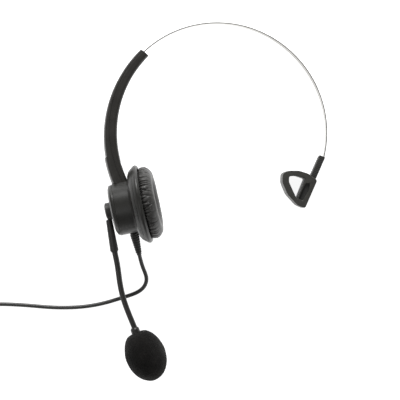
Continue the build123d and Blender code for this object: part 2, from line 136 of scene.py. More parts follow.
def band_frame() -> LocalFrame:
    """Headband's frame, with its origin in the middle of the strip's circle.

    Returns:
        Z square to the circle's plane.
    """
    place, square = joint("band_size_slide")
    across = Vector((1.0, 0.0, -square.x / square.z)).normalized()
    return LocalFrame(place, across, square)


def boom_frame() -> LocalFrame:
    """Boom's frame, with its origin on the cup's axis.

    Returns:
        X along the sleeve and Y toward the head.
    """
    place, outward = joint("boom_rotation")
    square = joint("gooseneck_bend")[1]
    dip_way = (-outward).cross(square).normalized()
    lean = math.radians(BOOM_LEAN)
    return LocalFrame(place, dip_way * math.cos(lean) - outward * math.sin(lean), square)


def pad_frame() -> LocalFrame:
    """Temple pad's frame, with its origin in its middle.

    Returns:
        Z along the pad's width.
    """
    low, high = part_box("temple_pad")
    middle = Vector((PAD_MIDDLE[0] * MM, PAD_MIDDLE[1] * MM, (low.z + high.z) / 2))
    width_way = Vector((PAD_LEAN, 0.0, 1.0)).normalized()
    return LocalFrame(middle, Vector((1.0, 0.0, -PAD_LEAN)).normalized(), width_way)


# ------------------------------------------------------------------ finishes
class Texture(Enum):
    """Kinds of surface detail."""

    MOULDED = "moulded"
    LEATHER = "leather"
    FOAM = "foam"
    ROLLED = "rolled"
    WOVEN = "woven"
    RUBBER = "rubber"


@dataclass(frozen=True)
class Finish:
    """One surface finish, made as a node material.

    Args:
        name: the material's name.
        color: linear base colour.
        roughness: middle roughness.
        texture: the kind of detail.
        grain: size of the detail in millimetres.
        depth: how strongly the detail stands out, 0 to 1.
        metallic: 0 for plastics, 1 for metals.
        specular: strength of the plain reflection.
        sheen: soft edge glow of cloth and foam.
        variation: share by which the colour wanders.
        slot: the record's material slot; not used.
    """

    name: str
    color: tuple[float, float, float]
    roughness: float
    texture: Texture
    grain: float
    depth: float
    metallic: float = 0.0
    specular: float = 0.5
    sheen: float = 0.0
    variation: float = 0.12
    slot: str = "matte_black_plastic"

    def material(self) -> bpy.types.Material:
        """The material, made once and then shared.

        Returns:
            The node material.
        """
        known = bpy.data.materials.get(self.name)
        if known is not None:
            return known
        made = bpy.data.materials.new(self.name)
        made.use_nodes = True
        self._wire(made.node_tree)
        return made

    def _wire(self, tree: bpy.types.NodeTree) -> None:
        """Builds the node network.

        Args:
            tree: the material's empty tree.
        """
        tree.nodes.clear()
        output = tree.nodes.new("ShaderNodeOutputMaterial")
        shader = tree.nodes.new("ShaderNodeBsdfPrincipled")
        tree.links.new(shader.outputs["BSDF"], output.inputs["Surface"])
        shader.inputs["Metallic"].default_value = self.metallic
        shader.inputs["Specular IOR Level"].default_value = self.specular
        shader.inputs["Sheen Weight"].default_value = self.sheen
        shader.inputs["Sheen Roughness"].default_value = 0.6
        where = tree.nodes.new("ShaderNodeTexCoord").outputs["Object"]
        patches = self._noise(tree, where, PATCH_SIZE, 3.0)
        fine = self._noise(tree, where, self.grain * 2.5, 4.0)
        self._color(tree, shader, patches, fine)
        self._roughness(tree, shader, patches, fine)
        self._bump(tree, shader, where, fine)

    def _noise(
        self, tree: bpy.types.NodeTree, where: bpy.types.NodeSocket, size: float, detail: float
    ) -> bpy.types.NodeSocket:
        """A noise of features about one size.

        Args:
            tree: the material's tree.
            where: the place in the object.
            size: the features' size in millimetres.
            detail: how many finer layers it has.

        Returns:
            The noise's value.
        """
        node = tree.nodes.new("ShaderNodeTexNoise")
        node.inputs["Scale"].default_value = 1 / (size * MM)
        node.inputs["Detail"].default_value = detail
        tree.links.new(where, node.inputs["Vector"])
        return node.outputs["Fac"]

    def _ramp(
        self, tree: bpy.types.NodeTree, source: bpy.types.NodeSocket, low: float, high: float
    ) -> bpy.types.NodeSocket:
        """Maps a noise's middle range onto low to high.

        Args:
            tree: the material's tree.
            source: the noise.
            low: result at the low end.
            high: result at the high end.

        Returns:
            The mapped value.
        """
        node = tree.nodes.new("ShaderNodeMapRange")
        node.inputs["From Min"].default_value = NOISE_LOW
        node.inputs["From Max"].default_value = NOISE_HIGH
        node.inputs["To Min"].default_value = low
        node.inputs["To Max"].default_value = high
        tree.links.new(source, node.inputs["Value"])
        return node.outputs["Result"]

    def _color(
        self,
        tree: bpy.types.NodeTree,
        shader: bpy.types.Node,
        patches: bpy.types.NodeSocket,
        fine: bpy.types.NodeSocket,
    ) -> None:
        """Lets the colour wander in wide patches and in the grain.

        Args:
            tree: the material's tree.
            shader: the principled shader.
            patches: the wide noise.
            fine: the noise of the grain.
        """
        wide = self._ramp(tree, patches, 1 - self.variation, 1 + self.variation)
        close = self._ramp(tree, fine, 1 - self.variation, 1 + self.variation)
        both = tree.nodes.new("ShaderNodeMath")
        both.operation = "MULTIPLY"
        tree.links.new(wide, both.inputs[0])
        tree.links.new(close, both.inputs[1])
        tint = tree.nodes.new("ShaderNodeVectorMath")
        tint.operation = "SCALE"
        tint.inputs[0].default_value = self.color
        tree.links.new(both.outputs[0], tint.inputs["Scale"])
        tree.links.new(tint.outputs[0], shader.inputs["Base Color"])

    def _roughness(
        self,
        tree: bpy.types.NodeTree,
        shader: bpy.types.Node,
        patches: bpy.types.NodeSocket,
        fine: bpy.types.NodeSocket,
    ) -> None:
        """Varies the roughness with handling marks and grain.

        Args:
            tree: the material's tree.
            shader: the principled shader.
            patches: the wide noise.
            fine: the noise of the grain.
        """
        low = max(0.04, self.roughness - ROUGHNESS_SPREAD)
        high = min(1.0, self.roughness + ROUGHNESS_SPREAD)
        mixed = tree.nodes.new("ShaderNodeMath")
        mixed.operation = "MULTIPLY_ADD"
        mixed.inputs[1].default_value = 0.5
        half = tree.nodes.new("ShaderNodeMath")
        half.operation = "MULTIPLY"
        half.inputs[1].default_value = 0.5
        tree.links.new(fine, half.inputs[0])
        tree.links.new(patches, mixed.inputs[0])
        tree.links.new(half.outputs[0], mixed.inputs[2])
        tree.links.new(self._ramp(tree, mixed.outputs[0], low, high), shader.inputs["Roughness"])

    def _bump(
        self,
        tree: bpy.types.NodeTree,
        shader: bpy.types.Node,
        where: bpy.types.NodeSocket,
        fine: bpy.types.NodeSocket,
    ) -> None:
        """Adds the small relief of the texture.

        Args:
            tree: the material's tree.
            shader: the principled shader.
            where: the place in the object.
            fine: the noise of the grain.
        """
        bump = tree.nodes.new("ShaderNodeBump")
        bump.inputs["Strength"].default_value = self.depth
        bump.inputs["Distance"].default_value = self.grain * 0.35 * MM
        tree.links.new(self._relief(tree, where, fine), bump.inputs["Height"])
        tree.links.new(bump.outputs["Normal"], shader.inputs["Normal"])

    def _relief(
        self, tree: bpy.types.NodeTree, where: bpy.types.NodeSocket, fine: bpy.types.NodeSocket
    ) -> bpy.types.NodeSocket:
        """The height pattern of each kind of texture.

        Args:
            tree: the material's tree.
            where: the place in the object.
            fine: the noise of the grain.

        Returns:
            The height.
        """
        if self.texture in (Texture.MOULDED, Texture.RUBBER):
            return fine
        if self.texture is Texture.ROLLED:
            stretch = tree.nodes.new("ShaderNodeMapping")
            stretch.inputs["Scale"].default_value = (0.12, 0.12, 2.2)
            tree.links.new(where, stretch.inputs["Vector"])
            return self._noise(tree, stretch.outputs[0], self.grain, 3.0)
        if self.texture is Texture.WOVEN:
            weave = tree.nodes.new("ShaderNodeTexWave")
            weave.inputs["Scale"].default_value = 1 / (self.grain * MM)
            weave.inputs["Distortion"].default_value = 1.5
            tree.links.new(where, weave.inputs["Vector"])
            return weave.outputs["Fac"]
        cells = tree.nodes.new("ShaderNodeTexVoronoi")
        cells.inputs["Scale"].default_value = 1 / (self.grain * MM)
        if self.texture is Texture.LEATHER:
            cells.feature = "DISTANCE_TO_EDGE"
        tree.links.new(where, cells.inputs["Vector"])
        mixed = tree.nodes.new("ShaderNodeMath")
        mixed.operation = "ADD"
        tree.links.new(cells.outputs["Distance"], mixed.inputs[0])
        tree.links.new(fine, mixed.inputs[1])
        return mixed.outputs[0]


# Painted shade: the hub's satin plastic is set darker than the boom's plastic of the same slot, so
# the domed back and the rim read as dark as they do in shade.
HUB_PLASTIC = Finish(
    "hub satin plastic", (0.0165, 0.0162, 0.0140), 0.36, Texture.MOULDED, 0.35, 0.25,
    slot="satin_black_plastic",
)
ARM_PLASTIC = Finish("arm matt plastic", (0.0215, 0.0198, 0.0172), 0.42, Texture.MOULDED, 0.4, 0.3)
INNER_PLASTIC = Finish("inner plastic", (0.022, 0.022, 0.021), 0.55, Texture.MOULDED, 0.4, 0.3)
BOOM_PLASTIC = Finish(
    "boom satin plastic", (0.023, 0.0218, 0.0195), 0.42, Texture.MOULDED, 0.3, 0.25,
    slot="satin_black_plastic",
)
LEATHERETTE = Finish(
    "pleated leatherette", (0.025, 0.024, 0.0218), 0.46, Texture.LEATHER, 0.55, 0.35,
    sheen=0.08, variation=0.18, slot="leatherette",
)
WINDSCREEN_FOAM = Finish(
    "open cell foam", (0.0082, 0.0077, 0.0070), 0.95, Texture.FOAM, 0.45, 0.9,
    specular=0.1, sheen=0.06, variation=0.4, slot="open_foam",
)
FILLING_FOAM = Finish(
    "cushion filling", (0.05, 0.05, 0.05), 0.95, Texture.FOAM, 0.6, 0.8,
    specular=0.2, variation=0.3, slot="open_foam",
)
PAD_RUBBER = Finish(
    "soft pad rubber", (0.046, 0.045, 0.040), 0.5, Texture.RUBBER, 0.5, 0.3,
    specular=0.4, slot="rubber",
)
RELIEF_RUBBER = Finish(
    "strain relief rubber", (0.032, 0.032, 0.030), 0.55, Texture.RUBBER, 0.4, 0.3,
    specular=0.4, slot="rubber",
)
CORD_JACKET = Finish(
    "cord jacket", (0.040, 0.040, 0.0385), 0.40, Texture.RUBBER, 0.5, 0.25,
    variation=0.08, slot="cord_jacket",
)
NECK_SLEEVE = Finish(
    "gooseneck sleeve", (0.023, 0.022, 0.020), 0.36, Texture.MOULDED, 0.45, 0.3,
    slot="gooseneck_sleeve",
)
SPRING_STEEL = Finish(
    "rolled spring steel", (0.46, 0.45, 0.43), 0.30, Texture.ROLLED, 0.25, 0.2,
    metallic=1.0, variation=0.05, slot="spring_steel",
)
PLATED_STEEL = Finish(
    "zinc plated steel", (0.5, 0.5, 0.49), 0.35, Texture.ROLLED, 0.2, 0.2,
    metallic=1.0, variation=0.08, slot="plated_steel",
)
MAGNET_METAL = Finish(
    "sintered magnet", (0.1, 0.1, 0.1), 0.5, Texture.MOULDED, 0.2, 0.3, metallic=0.6, slot="magnet"
)
COPPER_WIRE = Finish(
    "enamelled copper", (0.6, 0.25, 0.12), 0.35, Texture.ROLLED, 0.12, 0.5,
    metallic=1.0, slot="copper",
)
CONE_FILM = Finish("cone film", (0.35, 0.33, 0.28), 0.3, Texture.RUBBER, 0.4, 0.1, slot="film")
BOARD_MASK = Finish(
    "board mask", (0.02, 0.12, 0.05), 0.35, Texture.RUBBER, 0.4, 0.15, slot="circuit_board"
)
BUSH_ACETAL = Finish("bush acetal", (0.6, 0.6, 0.57), 0.4, Texture.MOULDED, 0.3, 0.1, slot="acetal")
GOLD_FLASH = Finish(
    "gold flash", (0.72, 0.52, 0.22), 0.24, Texture.ROLLED, 0.15, 0.1,
    metallic=1.0, variation=0.05, slot="plug_metal",
)
GRILLE_CLOTH = Finish(
    "grille cloth", (0.015, 0.015, 0.015), 0.9, Texture.WOVEN, 0.3, 0.6,
    specular=0.2, sheen=0.2, slot="cloth",
)
TABLE_TOP = Finish(
    "pale table", (0.86, 0.86, 0.86), 0.6, Texture.MOULDED, 2.0, 0.02, specular=0.1, variation=0.004
)


# ------------------------------------------------------------------ mesh making
def rounded(points: Profile, radii: list[float], closed: bool = False, steps: int = 5) -> Profile:
    """Rounds the corners of an outline.

    Args:
        points: the corners.
        radii: one radius for each corner; ends of an open outline are left alone.
        closed: whether the last corner joins the first.
        steps: pieces in each round.

    Returns:
        The outline with arcs in place of its corners.
    """
    made: Profile = []
    count = len(points)
    for i, (corner, radius) in enumerate(zip(points, radii)):
        if radius <= 0 or (not closed and i in (0, count - 1)):
            made.append(corner)
            continue
        here = Vector(corner)
        before = Vector(points[i - 1]) - here
        after = Vector(points[(i + 1) % count]) - here
        half = before.angle(after) / 2
        reach = min(radius / math.tan(half), before.length * 0.49, after.length * 0.49)
        start = here + before.normalized() * reach
        end = here + after.normalized() * reach
        for k in range(steps + 1):
            t = k / steps
            spot = start * (1 - t) ** 2 + here * 2 * t * (1 - t) + end * t**2
            made.append((spot.x, spot.y))
    return made


def new_piece(name: str, data: bpy.types.ID) -> bpy.types.Object:
    """Puts a mesh or a curve in the scene as a piece of its own.

    Args:
        name: the piece's name.
        data: its mesh or curve.

    Returns:
        The new piece.
    """
    piece = bpy.data.objects.new(name, data)
    bpy.context.scene.collection.objects.link(piece)
    return piece


def smooth(mesh: bpy.types.Mesh, angle: float = 35.0) -> None:
    """Smooth shading with edges kept sharp past an angle in degrees."""
    mesh.shade_smooth()
    mesh.set_sharp_from_angle(angle=math.radians(angle))


def mesh_from(name: str, verts: list[Vector], faces: list[Face]) -> bpy.types.Mesh:
    """Makes a mesh with its faces turned outward.

    Args:
        name: the mesh's name.
        verts: points in metres.
        faces: corners of each face.

    Returns:
        The new mesh.
    """
    mesh = bpy.data.meshes.new(name)
    mesh.from_pydata([tuple(v) for v in verts], [], faces)
    work = bmesh.new()
    work.from_mesh(mesh)
    bmesh.ops.remove_doubles(work, verts=work.verts, dist=1e-7)
    bmesh.ops.recalc_face_normals(work, faces=work.faces)
    work.to_mesh(mesh)
    work.free()
    return mesh


def ring_faces(rings: int, rows: int, solid: bool = False) -> list[Face]:
    """Faces of rows of points that go round in rings and meet again.

    Args:
        rings: how many steps go round.
        rows: points in each step.
        solid: whether each row starts and ends on the axis.

    Returns:
        Four corners for each face.
    """
    faces: list[Face] = []
    for k in range(rings):
        near, far = k * rows, (k + 1) % rings * rows
        for i in range(rows - 1 if solid else rows):
            j = (i + 1) % rows
            faces.append((near + i, near + j, far + j, far + i))
    return faces


def bar_faces(lengths: int, sides: int) -> list[Face]:
    """Faces of a bar of rings, with an end face at each end.

    Args:
        lengths: pieces along the bar.
        sides: points in each ring.

    Returns:
        The corners of each face.
    """
    faces: list[Face] = []
    for k in range(lengths):
        for i in range(sides):
            j = (i + 1) % sides
            near, far = k * sides, (k + 1) * sides
            faces.append((near + i, near + j, far + j, far + i))
    faces.append(tuple(range(sides)))
    faces.append(tuple(range(lengths * sides, (lengths + 1) * sides)))
    return faces


def lathe(name: str, place: LocalFrame, profile: Profile, turns: int = 144) -> bpy.types.Object:
    """Turns an outline of (radius, height) about the local Z axis.

    Args:
        name: the piece's name.
        place: the frame whose Z is the axis.
        profile: a closed outline, or one that starts and ends on the axis.
        turns: how many steps go round.

    Returns:
        The new piece.
    """
    solid = profile[0][0] < 1e-6 and profile[-1][0] < 1e-6
    verts = []
    for k in range(turns):
        swing = 2 * math.pi * k / turns
        for radius, height in profile:
            verts.append(place.point(radius * math.cos(swing), radius * math.sin(swing), height))
    mesh = mesh_from(name, verts, ring_faces(turns, len(profile), solid))
    smooth(mesh)
    return new_piece(name, mesh)


def sweep(
    name: str, centres: list[Vector], radii: list[float], sides: int = 28
) -> bpy.types.Object:
    """A round bar through points, with a radius at each and closed ends.

    Args:
        name: the piece's name.
        centres: points in metres.
        radii: radius at each point, in millimetres.
        sides: how many sides go round.

    Returns:
        The new piece.
    """
    verts: list[Vector] = []
    side = (centres[1] - centres[0]).orthogonal().normalized()
    last = len(centres) - 1
    for i, (centre, radius) in enumerate(zip(centres, radii)):
        along = (centres[min(i + 1, last)] - centres[max(i - 1, 0)]).normalized()
        side = (side - along * side.dot(along)).normalized()
        up = along.cross(side)
        for k in range(sides):
            swing = 2 * math.pi * k / sides
            verts.append(centre + (side * math.cos(swing) + up * math.sin(swing)) * radius * MM)
    mesh = mesh_from(name, verts, bar_faces(last, sides))
    smooth(mesh, 50)
    return new_piece(name, mesh)


def dress(piece: bpy.types.Object, finish: Finish) -> None:
    """Gives a made piece its finish.

    Args:
        piece: the piece.
        finish: its finish.
    """
    piece.data.materials.clear()
    piece.data.materials.append(finish.material())


def dress_nodes(finish: Finish, *nodes: str) -> None:
    """Gives carried-over frame nodes a finish.

    Args:
        finish: the finish.
        nodes: the nodes' names.
    """
    for node in nodes:
        for holder in frame["nodes"][node].material_slots:
            holder.material = finish.material()


def place_piece(piece: bpy.types.Object, finish: Finish, body: str, *nodes: str) -> None:
    """Dresses a made piece, lets it ride on a body and stand for its nodes.

    Args:
        piece: the piece.
        finish: its finish.
        body: the body it rides on.
        nodes: the frame nodes it replaces.
    """
    dress(piece, finish)
    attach(piece, body)
    if nodes:
        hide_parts(*nodes)
    LOG.info("%s rides on %s", piece.name, body)


# ------------------------------------------------------------------ camera, light and table
@dataclass
class Studio:
    """Camera straight above the table, soft light, pale table top.

    Args:
        field: width of the picture at the headset, in metres.
        height: the camera's height in metres.
        level: height above the table at which the field is measured.
        middle: the picture's middle, in metres.
        table_reach: half the table top's width, in metres.
        table_drop: how far the table top lies under the headset, in metres.
        table_glow: how strongly the table top shines by itself.
        sky_light: strength of the light from all round.
    """

    field: float = 0.280
    height: float = 2.0
    level: float = 0.015
    middle: tuple[float, float] = (-0.0105, 0.0007)
    table_reach: float = 6.0
    table_drop: float = 0.0002
    table_glow: float = 0.90
    sky_light: float = 0.24

    def camera(self) -> None:
        """Makes the camera."""
        data = bpy.data.cameras.new("camera")
        data.lens = data.sensor_width * (self.height - self.level) / self.field
        data.clip_start = 0.05
        camera = bpy.data.objects.new("camera", data)
        camera.location = (*self.middle, self.height)
        bpy.context.scene.collection.objects.link(camera)
        bpy.context.scene.camera = camera

    def light(self, name: str, place: Vector, target: Vector, size: float, power: float) -> None:
        """Adds one soft square light.

        Args:
            name: the light's name.
            place: where it stands, in metres.
            target: where it points, in metres.
            size: its width in metres.
            power: its power in watts.
        """
        data = bpy.data.lights.new(name, "AREA")
        data.size = size
        data.energy = power
        lamp = bpy.data.objects.new(name, data)
        lamp.location = place
        lamp.rotation_mode = "QUATERNION"
        lamp.rotation_quaternion = (target - place).to_track_quat("-Z", "Y")
        lamp.visible_camera = False
        bpy.context.scene.collection.objects.link(lamp)

    def build(self) -> None:
        """Makes the whole set."""
        self.camera()
        aim = Vector((-0.01, 0.0, 0.0))
        self.light("key", Vector((-0.10, 1.2, 0.62)), aim, 0.45, 17.0)
        self.light("fill", Vector((-0.6, -0.3, 1.1)), aim, 0.6, 1.6)
        self.light("rear", Vector((0.9, -0.8, 0.40)), aim, 0.6, 2.2)
        world = bpy.data.worlds.new("studio")
        world.use_nodes = True
        sky = world.node_tree.nodes["Background"]
        sky.inputs["Color"].default_value = (1.0, 1.0, 1.0, 1.0)
        sky.inputs["Strength"].default_value = self.sky_light
        bpy.context.scene.world = world
        bpy.context.scene.view_settings.view_transform = "Standard"
        self.table()

    def table(self) -> None:
        """Makes the table top."""
        corners = ((-1, -1), (1, -1), (1, 1), (-1, 1))
        verts = [
            Vector((x * self.table_reach, y * self.table_reach, -self.table_drop))
            for x, y in corners
        ]
        top = new_piece("table_top", mesh_from("table_top", verts, [(0, 1, 2, 3)]))
        material = TABLE_TOP.material()
        top.data.materials.append(material)
        shader = next(node for node in material.node_tree.nodes if node.type == "BSDF_PRINCIPLED")
        shader.inputs["Emission Color"].default_value = (1.0, 1.0, 1.0, 1.0)
        shader.inputs["Emission Strength"].default_value = self.table_glow


# ------------------------------------------------------------------ cord
@dataclass
class Cord:
    """Thin cord: out of the strain relief, over the table and into a neat coil.

    Args:
        diameter: of the jacket, in metres.
        length: from the strain relief to the plug, in metres; not used.
        coil_centre: middle of the coil, in metres.
        whole_turns: how many times the cord goes round the coil.
        steps: control points in each turn.
    """

    diameter: float = 0.0028
    length: float = 1.5
    coil_centre: tuple[float, float] = (-0.181, -0.0535)
    whole_turns: float = 13.25
    steps: int = 16

    LEAD: ClassVar[list[Spot]] = [
        (-0.0531, -0.0375, 0.0113),
        (-0.0515, -0.0447, 0.0078),
        (-0.0489, -0.0510, 0.0051),
        (-0.0480, -0.0549, 0.0035),
        (-0.0489, -0.0589, 0.0023),
        (-0.0514, -0.0623, 0.0016),
        (-0.0561, -0.0652, 0.00145),
        (-0.0666, -0.0686, 0.00145),
        (-0.0800, -0.0726, 0.00145),
        (-0.0955, -0.0750, 0.00145),
        (-0.1140, -0.0752, 0.00145),
        (-0.1330, -0.0734, 0.00145),
        (-0.1510, -0.0725, 0.0016),
        (-0.1680, -0.0732, 0.0019),
    ]
    TURNS: ClassVar[Profile] = [
        (0.0197, 0.0020), (0.0169, 0.0020), (0.0141, 0.0020), (0.0113, 0.0020), (0.0113, 0.0046),
        (0.0113, 0.0072), (0.0141, 0.0097), (0.0141, 0.0072), (0.0141, 0.0046), (0.0169, 0.0046),
        (0.0169, 0.0072), (0.0169, 0.0097), (0.0197, 0.0072), (0.0197, 0.0046),
    ]
    TAIL: ClassVar[list[Spot]] = [
        (-0.2009, -0.0475, 0.0041),
        (-0.2009, -0.0425, 0.0039),
    ]

    def turns(self) -> list[Spot]:
        """Coil turns, each going over to the next one's radius and height in its last quarter.

        Returns:
            Control points of the coil, in metres.
        """
        points: list[Spot] = []
        swell = 1 / math.cos(math.pi / self.steps)
        for k in range(int(self.whole_turns * self.steps) + 1):
            turn = k / self.steps
            index = min(int(turn), len(self.TURNS) - 1)
            radius, height = self.TURNS[index]
            next_radius, next_height = self.TURNS[min(index + 1, len(self.TURNS) - 1)]
            over = max(0.0, (turn - index) * 4 - 3)
            radius += (next_radius - radius) * over
            height += (next_height - height) * over
            swing = -math.pi / 2 - 2 * math.pi * turn
            x = self.coil_centre[0] + radius * swell * math.cos(swing)
            y = self.coil_centre[1] + radius * swell * math.sin(swing)
            points.append((x, y, height))
        return points

    def build(self) -> None:
        route = self.LEAD + self.turns() + self.TAIL
        curve = bpy.data.curves.new("cord", "CURVE")
        curve.dimensions = "3D"
        curve.bevel_depth = self.diameter / 2
        curve.bevel_resolution = 6
        curve.resolution_u = 6
        curve.use_fill_caps = True
        spline = curve.splines.new("NURBS")
        spline.points.add(len(route) - 1)
        for point, spot in zip(spline.points, route):
            point.co = (*spot, 1.0)
        spline.order_u = 3
        spline.use_endpoint_u = True
        cord = new_piece("cord", curve)
        place_piece(cord, CORD_JACKET, "ear_cup", "cord_lead", "cord_coil")


# ------------------------------------------------------------------ ear cup
@dataclass
class EarCup:
    """Hub, rim, strain relief and the finishes of everything behind the grille.

    Args:
        hub_r: radius of the hub.
        hub_back: height of the hub's far edge.
        hub_inner: radius of the hub's bore.
        rim_r: radius of the rolled rim.
        seat_r: radius of the step that the cushion sits in.
        plate_hole: radius of the speaker's opening.
        relief_rings: rings round the strain relief.
        ring_step: distance between them.
        ring_r: radius of the widest one.
        ring_taper: how much smaller each next one is.
        plug_depth: how far the strain relief goes into the hub.
    """

    hub_r: float = 18.3
    hub_back: float = -17.5
    hub_inner: float = 16.7
    rim_r: float = 27.5
    seat_r: float = 24.8
    plate_hole: float = 14.2
    relief_rings: int = 8
    ring_step: float = 1.9
    ring_r: float = 3.15
    ring_taper: float = 0.145
    plug_depth: float = 4.8

    def housing(self, place: LocalFrame) -> None:
        """Makes the rear housing, whose hub meets its domed back in a tight fillet.

        Args:
            place: the cup's frame.
        """
        corners = [
            (self.hub_r, self.hub_back), (self.hub_r, -6.1), (21.6, -5.7), (24.3, -4.3),
            (26.0, -2.25), (23.9, -2.25), (22.6, -3.3), (19.6, -4.2),
            (self.hub_inner, -4.7), (self.hub_inner, self.hub_back),
        ]
        radii = [0.35, 0.9, 3.0, 4.0, 0.15, 0.2, 0.6, 0.6, 0.3, 0.1]
        outline = rounded(corners, radii, closed=True)
        shell = lathe("hub_shell", place, outline)
        place_piece(shell, HUB_PLASTIC, "ear_cup", "rear_housing")

    def rim(self, place: LocalFrame) -> None:
        """Makes the speaker plate with its rolled rim.

        Args:
            place: the cup's frame.
        """
        corners = [
            (self.plate_hole, -2.2), (26.0, -2.2), (self.rim_r, -0.2), (self.rim_r, 1.1),
            (26.5, 2.3), (self.seat_r, 2.2), (self.seat_r, -0.2), (self.plate_hole, -0.2),
        ]
        radii = [0.2, 0.25, 1.6, 0.5, 0.6, 0.4, 0.3, 0.2]
        outline = rounded(corners, radii, closed=True)
        plate = lathe("rim_plate", place, outline)
        place_piece(plate, HUB_PLASTIC, "ear_cup", "speaker_plate")

    def strain_relief(self) -> None:
        """Makes the tapered strain relief with rings round it."""
        start = Vector(Cord.LEAD[0])
        way = (Vector(Cord.LEAD[1]) - start).normalized()
        foot = start - way * RELIEF_LENGTH * MM
        place = LocalFrame(foot, way.orthogonal().normalized(), way)
        end = -self.plug_depth
        profile: Profile = [
            (0.0, end), (2.3, end), (2.3, end + 0.5), (1.9, end + 0.6), (1.9, 0.1), (3.0, 0.1),
        ]
        for i in range(self.relief_rings):
            low = 1.6 + self.ring_step * i
            ridge = self.ring_r - self.ring_taper * i
            profile += [
                (ridge - 0.45, low - 0.55), (ridge, low),
                (ridge, low + 0.75), (ridge - 0.5, low + 1.0),
            ]
        profile += [(1.75, RELIEF_LENGTH - 0.4), (1.55, RELIEF_LENGTH), (0.0, RELIEF_LENGTH)]
        relief = lathe("strain_relief", place, profile, turns=72)
        place_piece(relief, RELIEF_RUBBER, "ear_cup", "cable_strain_relief")

    def build(self) -> None:
        """Makes the cup and dresses what it holds."""
        place = cup_frame()
        self.housing(place)
        self.rim(place)
        dress_nodes(HUB_PLASTIC, "outer_cap")
        dress_nodes(INNER_PLASTIC, "speaker_grille", "speaker_basket")
        dress_nodes(INNER_PLASTIC, "cushion_ring", "cable_clamp")
        dress_nodes(GRILLE_CLOTH, "grille_cloth")
        dress_nodes(PLATED_STEEL, "housing_screws", "speaker_pole")
        dress_nodes(PLATED_STEEL, "boom_pivot_screw", "boom_wave_washer")
        dress_nodes(MAGNET_METAL, "speaker_magnet")
        dress_nodes(CONE_FILM, "speaker_diaphragm")
        dress_nodes(COPPER_WIRE, "voice_coil")
        dress_nodes(BOARD_MASK, "terminal_board")
        dress_nodes(BUSH_ACETAL, "swivel_bush")
        self.strain_relief()


@dataclass
class EarCushion:
    """Leatherette ring, gathered into pleats where it is pulled over the rim's seat.

    Args:
        outer: radius at its fullest.
        hole: radius of the ear's hollow.
        front: height of its front face.
        pleats: how many gathers go round.
        pleat_height: height at which the pleats are deepest.
        crown: how far the front swells past its face.
        around: points in each ring.
        seed: start of the random draws.
    """

    outer: float = 25.0
    hole: float = 11.5
    front: float = 10.8
    pleats: int = 84
    pleat_height: float = 2.8
    crown: float = 0.35
    around: int = 900
    seed: int = 7

    def profile(self) -> Profile:
        """Section of the cushion, from the back seat over the front to the hollow.

        Returns:
            The outline in radius and height.
        """
        crest = self.front + self.crown
        corners = [
            (23.4, 0.0), (23.5, 2.2), (self.outer, 3.2), (self.outer + 0.3, 7.4),
            (21.4, crest), (17.0, crest), (self.hole, 7.2),
            (self.hole + 0.1, 0.1), (self.hole + 0.4, 0.0),
        ]
        return rounded(corners, [0, 0.4, 2.0, 7.0, 5.0, 9.0, 6.0, 0.2, 0], steps=12)

    def gathers(self) -> list[Gather]:
        """Spreads the pleats unevenly round the ring.

        Returns:
            The angle, slant, width, depth and reach of each.
        """
        draw = random.Random(self.seed)
        made: list[Gather] = []
        for i in range(self.pleats):
            angle = 2 * math.pi * (i + draw.uniform(-0.3, 0.3)) / self.pleats
            slant = draw.uniform(-0.02, 0.02)
            width = draw.uniform(0.30, 0.62) / self.outer
            made.append((angle, slant, width, draw.uniform(0.5, 1.3), draw.uniform(3.0, 6.2)))
        return made

    def fold(
        self, angle: float, radius: float, height: float, gathers: list[Gather]
    ) -> tuple[float, float]:
        """Radius and height once the pleats and the soft unevenness are in.

        Args:
            angle: where round the ring, in radians.
            radius: smooth radius.
            height: smooth height.
            gathers: the pleats.

        Returns:
            The new radius and height.
        """
        side = max(0.0, min(1.0, (radius - self.outer + 4.0) / 3.0))
        sink = 0.0
        for at, slant, width, depth, reach in gathers:
            away = (angle - at - slant * (height - 2.5) + math.pi) % (2 * math.pi) - math.pi
            if abs(away) > 4 * width:
                continue
            fade = math.exp(-(((height - self.pleat_height) / reach) ** 2))
            sink += depth * math.exp(-((away / width) ** 2)) * fade
        spot = Vector((math.cos(angle) * 2.2, math.sin(angle) * 2.2, height * 0.12))
        uneven = 0.28 * noise.noise(spot) + 0.10 * noise.noise(spot * 4.0)
        return radius - sink * side + uneven, height + uneven * 0.6

    def build(self) -> None:
        place = cup_frame()
        outline = self.profile()
        gathers = self.gathers()
        verts = []
        for k in range(self.around):
            angle = 2 * math.pi * k / self.around
            for radius, height in outline:
                if 0.3 < height:
                    radius, height = self.fold(angle, radius, height, gathers)
                across, along = radius * math.cos(angle), radius * math.sin(angle)
                verts.append(place.point(across, along, height))
        mesh = mesh_from("ear_cushion", verts, ring_faces(self.around, len(outline)))
        mesh.shade_smooth()
        cushion = new_piece("ear_cushion", mesh)
        place_piece(cushion, LEATHERETTE, "ear_cup", "cushion_cover", "cushion_foam")


# ------------------------------------------------------------------ arm and headband
@dataclass
class HeadbandArm:
    """Plastic arm that holds the strip and swivels on the cup."""

    def build(self) -> None:
        """Dresses the arm's nodes."""
        dress_nodes(ARM_PLASTIC, "arm_outer_shell", "arm_inner_shell", "arm_lower_cover")
        dress_nodes(PLATED_STEEL, "arm_screws", "swivel_stud", "swivel_clip")
        dress_nodes(SPRING_STEEL, "detent_spring")
        LOG.info("arm dressed")


